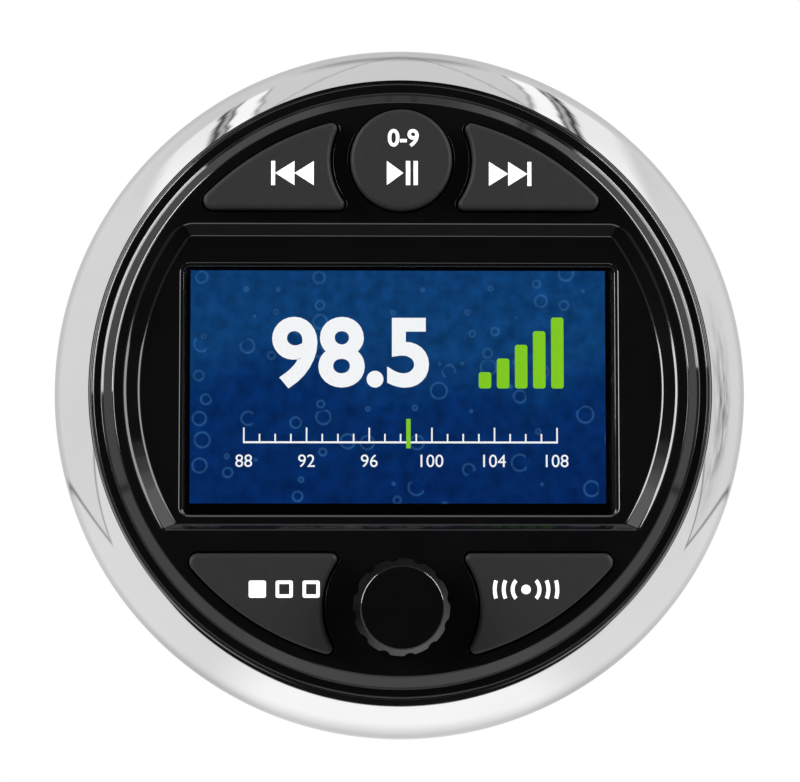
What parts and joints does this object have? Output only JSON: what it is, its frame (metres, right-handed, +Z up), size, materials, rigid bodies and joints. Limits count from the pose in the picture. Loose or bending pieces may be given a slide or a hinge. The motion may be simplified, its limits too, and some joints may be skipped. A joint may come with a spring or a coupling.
{
  "type": "marine stereo",
  "caption": "Round head unit for a gauge hole in a dash: chromed trim ring, gloss bezel with a wide display, rubber buttons and a push knob, and a sealed barrel with sockets behind.",
  "frame": {"origin": "on the barrel's axis, in the plane of the panel surface that the gasket sits on", "axes": "+Y into the panel along the barrel, so the face looks along -Y; +Z up; +X to the right as seen from the front"},
  "size_m": [0.112, 0.109, 0.112],
  "materials": {
    "chrome": "mirror bright plating",
    "gloss_black": "piano black gloss",
    "button_rubber": "matte moulded silicone",
    "window": "clear gloss",
    "screen": "lit display",
    "tape_black": "matte foam tape",
    "tray_metal": "folded sheet",
    "white_plastic": "moulded",
    "switch_black": "moulded",
    "seal_rubber": "matte",
    "steel": "machined",
    "encoder_grey": "moulded",
    "brass": "machined",
    "board_green": "solder mask",
    "chip_black": "moulded",
    "barrel_black": "fine moulded texture",
    "cover_cast": "black coated casting",
    "capacitor_blue": "sleeved can",
    "jack_core": "moulded"
  },
  "bodies": {
    "head_unit": {"trim_ring": "chrome", "bezel": "gloss_black", "display_window": "window", "lcd_panel": "screen", "window_tape": "tape_black", "backlight_tray": "tray_metal", "lcd_holder": "white_plastic", "ribbon_sockets": "white_plastic", "ribbon_cable": "white_plastic", "harness_socket": "white_plastic", "switch_bodies": "switch_black", "keypad_mats": "seal_rubber", "panel_gasket": "seal_rubber", "bezel_seal": "seal_rubber", "cover_seal": "seal_rubber", "encoder_washer": "seal_rubber", "encoder_nut": "steel", "front_board_screws": "steel", "barrel_screws": "steel", "cover_screws": "steel", "mounting_studs": "steel", "pillar_screws": "steel", "chip_clamp": "steel", "clamp_screws": "steel", "tuner_module": "steel", "signal_jack_shells": "steel", "antenna_jack": "steel", "encoder_body": "encoder_grey", "board_pillars": "brass", "harness_pins": "brass", "front_board": "board_green", "main_board": "board_green", "controller_chip": "chip_black", "amplifier_chip": "chip_black", "barrel": "barrel_black", "rear_cover": "cover_cast", "capacitors": "capacitor_blue", "signal_jack_cores": "jack_core"},
    "previous_key": {"previous_button": "button_rubber", "previous_plunger": "white_plastic"},
    "play_key": {"play_button": "button_rubber", "play_plunger": "white_plastic"},
    "next_key": {"next_button": "button_rubber", "next_plunger": "white_plastic"},
    "mode_key": {"mode_button": "button_rubber", "mode_plunger": "white_plastic"},
    "band_key": {"band_button": "button_rubber", "band_plunger": "white_plastic"},
    "knob_carrier": {"encoder_plunger": "white_plastic"},
    "knob": {"volume_knob": "gloss_black", "encoder_shaft": "steel"}
  },
  "joints": [
    {"name": "previous_press", "type": "slide", "parent": "head_unit", "child": "previous_key", "axis": [0, 1, 0], "range_m": [0, 0.0006], "stiffness_N_per_m": 800, "springref_m": -0.001},
    {"name": "play_press", "type": "slide", "parent": "head_unit", "child": "play_key", "axis": [0, 1, 0], "range_m": [0, 0.0006], "stiffness_N_per_m": 800, "springref_m": -0.001},
    {"name": "next_press", "type": "slide", "parent": "head_unit", "child": "next_key", "axis": [0, 1, 0], "range_m": [0, 0.0006], "stiffness_N_per_m": 800, "springref_m": -0.001},
    {"name": "mode_press", "type": "slide", "parent": "head_unit", "child": "mode_key", "axis": [0, 1, 0], "range_m": [0, 0.0006], "stiffness_N_per_m": 800, "springref_m": -0.001},
    {"name": "band_press", "type": "slide", "parent": "head_unit", "child": "band_key", "axis": [0, 1, 0], "range_m": [0, 0.0006], "stiffness_N_per_m": 800, "springref_m": -0.001},
    {"name": "knob_push", "type": "slide", "parent": "head_unit", "child": "knob_carrier", "axis": [0, 1, 0], "range_m": [0, 0.0006], "stiffness_N_per_m": 1500, "springref_m": -0.001},
    {"name": "knob_turn", "type": "hinge", "parent": "knob_carrier", "child": "knob", "pos_m": [0, 0, -0.0345], "axis": [0, 1, 0], "continuous": true}
  ]
}
